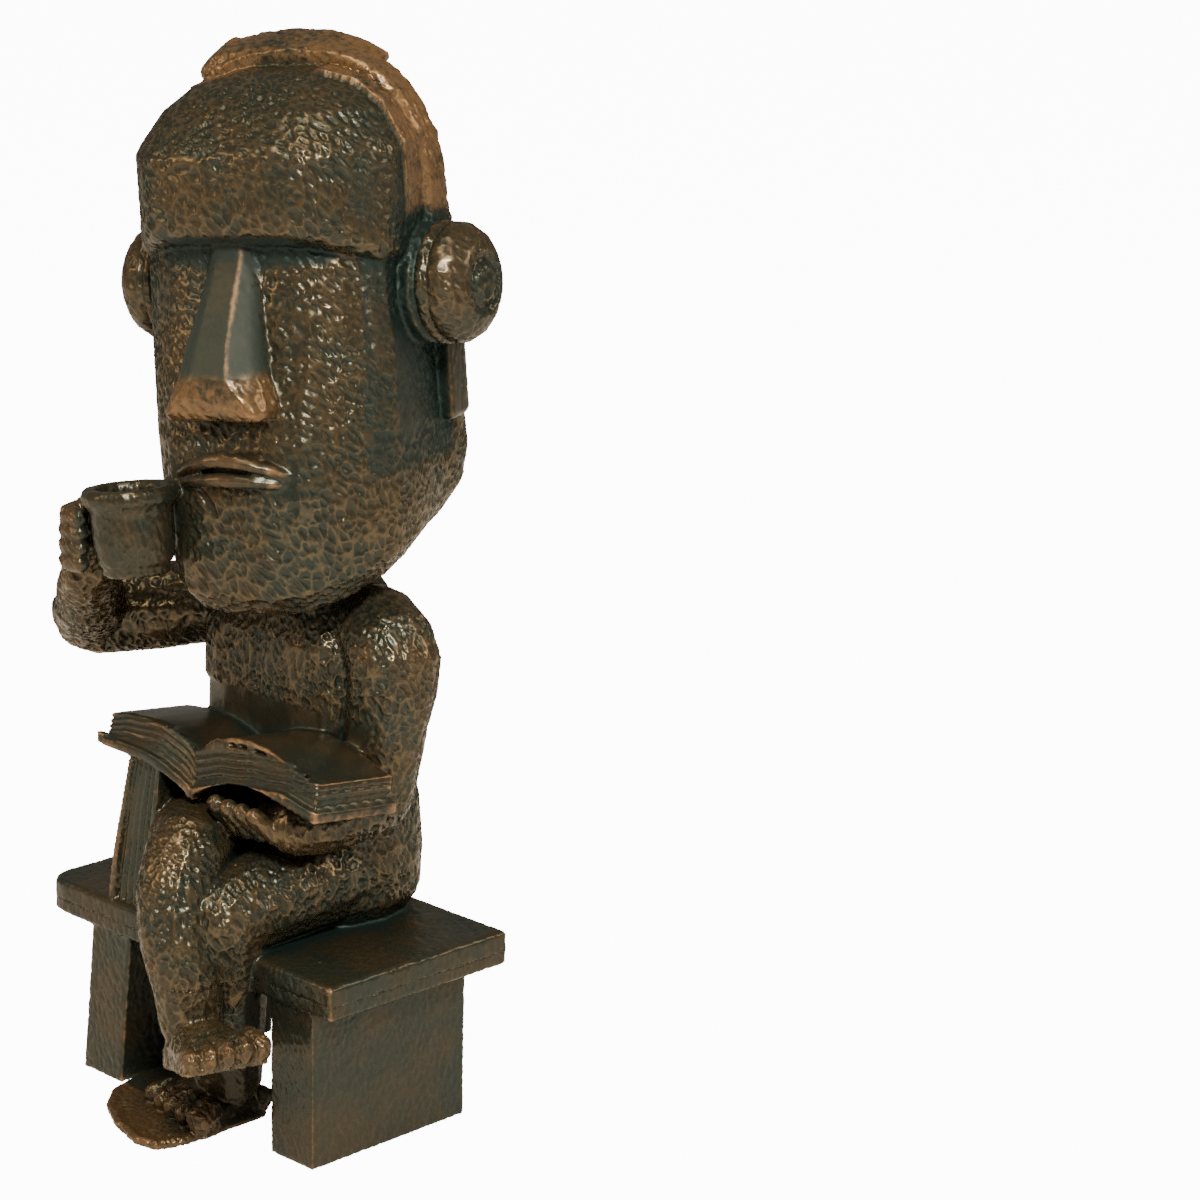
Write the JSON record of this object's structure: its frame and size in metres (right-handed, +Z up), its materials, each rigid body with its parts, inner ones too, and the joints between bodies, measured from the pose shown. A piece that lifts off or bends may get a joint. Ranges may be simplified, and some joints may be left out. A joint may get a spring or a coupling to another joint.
{
  "type": "moai figurine",
  "caption": "One-piece cast figurine of a long-headed stone-style figure in headphones, seated cross-legged on a slab bench with a cup at its lips and an open book on its lap.",
  "frame": {"origin": "centre of the bounding box in X and Y, on the surface that the bench and the planted foot stand on", "axes": "+Z up, the longest extent; the figure sits facing -Y and its own left side is at +X"},
  "size_m": [0.0672, 0.06, 0.1544],
  "materials": {
    "antique_bronze": "cast resin painted as antique bronze: green-black ground, copper rubbed on the edges, satin"
  },
  "bodies": {
    "root": {"moai_figurine": "antique_bronze"}
  },
  "joints": []
}
